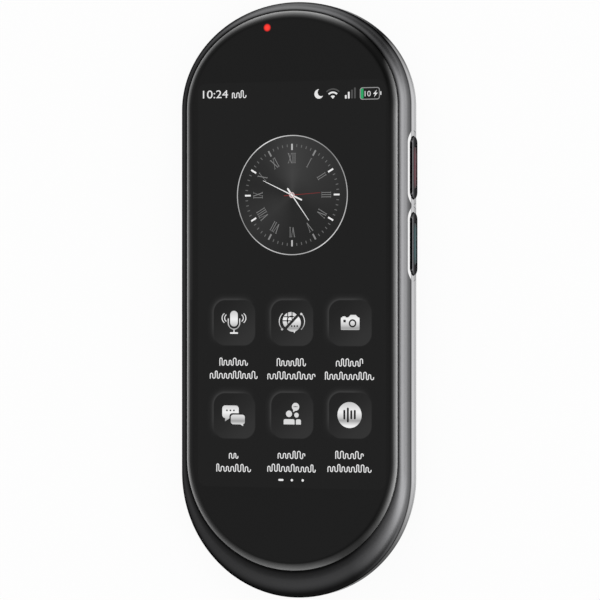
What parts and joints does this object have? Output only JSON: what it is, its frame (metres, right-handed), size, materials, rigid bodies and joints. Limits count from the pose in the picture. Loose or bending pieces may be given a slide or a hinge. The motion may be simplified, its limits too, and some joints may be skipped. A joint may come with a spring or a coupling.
{
  "type": "handheld translator",
  "caption": "Pill-shaped pocket voice translator with a glass touch screen, polished side band, two colour-marked talk keys, side card tray, rear camera and charging socket.",
  "frame": {"origin": "centre of the flat back, on the surface that the device lies on", "axes": "+Z out of the screen, +Y to the top end, +X to the side with the two talk keys"},
  "size_m": [0.056, 0.132, 0.0115],
  "materials": {
    "black_glass": "polished glass with a black printed back",
    "foam_tape": "matte black foam tape",
    "display_glass": "dark liquid crystal panel",
    "tray_steel": "pressed stainless sheet",
    "flex_circuit": "amber polyimide",
    "light_guide": "clear red moulding",
    "component_body": "moulded black epoxy",
    "satin_rim": "fine blasted, dark anodised",
    "polished_band": "polished and clear anodised",
    "cast_plate": "die cast, as moulded",
    "rear_shell": "soft matte black",
    "dark_trim": "turned and dark anodised",
    "lens_window": "polished dark glass",
    "flash_lens": "frosted clear moulding",
    "key_metal": "satin dark anodised",
    "red_bar": "red inlay",
    "teal_bar": "teal inlay",
    "switch_dome": "plated spring steel",
    "tray_metal": "polished and clear anodised",
    "shield_steel": "tinned steel",
    "circuit_board": "green solder mask",
    "camera_body": "black moulding",
    "motor_steel": "pressed steel can",
    "battery_pouch": "wrapped aluminium pouch",
    "speaker_box": "black moulding",
    "speaker_mesh": "black woven mesh",
    "mic_can": "gold plated can",
    "carrier": "black moulding with plated tracks",
    "screw_steel": "black zinc plated"
  },
  "bodies": {
    "housing": {"battery": "battery_pouch", "battery_pads": "foam_tape", "board_screws": "screw_steel", "bottom_antenna": "carrier", "camera_trim_ring": "dark_trim", "camera_window": "lens_window", "chips": "component_body", "cover_glass": "black_glass", "cover_tape": "foam_tape", "display_flex": "flex_circuit", "display_pads": "foam_tape", "display_panel": "display_glass", "display_tray": "tray_steel", "flash_led": "component_body", "flash_lens": "flash_lens", "front_rim": "satin_rim", "glass_seal": "foam_tape", "left_key_bracket": "tray_steel", "left_key_flex": "flex_circuit", "left_key_switches": "switch_dome", "link_flex": "flex_circuit", "loudspeaker": "speaker_box", "main_board": "circuit_board", "microphones": "mic_can", "mid_plate": "cast_plate", "processor_shield": "shield_steel", "radio_shield": "shield_steel", "rear_camera": "camera_body", "rear_cover": "rear_shell", "right_key_bracket": "tray_steel", "right_key_flex": "flex_circuit", "right_key_switches": "switch_dome", "side_band": "polished_band", "sim_socket": "shield_steel", "speaker_mesh": "speaker_mesh", "status_led": "component_body", "status_light_guide": "light_guide", "sub_board": "circuit_board", "top_antenna": "carrier", "usb_c_socket": "shield_steel", "vibration_motor": "motor_steel"},
    "upper_key": {"upper_key": "key_metal", "upper_key_bar": "red_bar"},
    "lower_key": {"lower_key": "key_metal", "lower_key_bar": "teal_bar"},
    "power_key": {"power_key": "key_metal"},
    "volume_rocker": {"volume_rocker": "key_metal"},
    "card_tray": {"sim_tray": "tray_metal"}
  },
  "joints": [
    {"name": "upper_key_press", "type": "slide", "parent": "housing", "child": "upper_key", "axis": [-1, 0, 0], "range_m": [0, 0.00035], "stiffness_N_per_m": 800},
    {"name": "lower_key_press", "type": "slide", "parent": "housing", "child": "lower_key", "axis": [-1, 0, 0], "range_m": [0, 0.00035], "stiffness_N_per_m": 800},
    {"name": "power_key_press", "type": "slide", "parent": "housing", "child": "power_key", "axis": [1, 0, 0], "range_m": [0, 0.00035], "stiffness_N_per_m": 800},
    {"name": "volume_rocker_tilt", "type": "hinge", "parent": "housing", "child": "volume_rocker", "pos_m": [-0.02443, -0.002, 0.00645], "axis": [0, 0, 1], "range_deg": [-1, 1], "stiffness_Nm_per_rad": 0.1},
    {"name": "card_tray_slide", "type": "slide", "parent": "housing", "child": "card_tray", "axis": [-1, 0, 0], "range_m": [0, 0.016]}
  ]
}
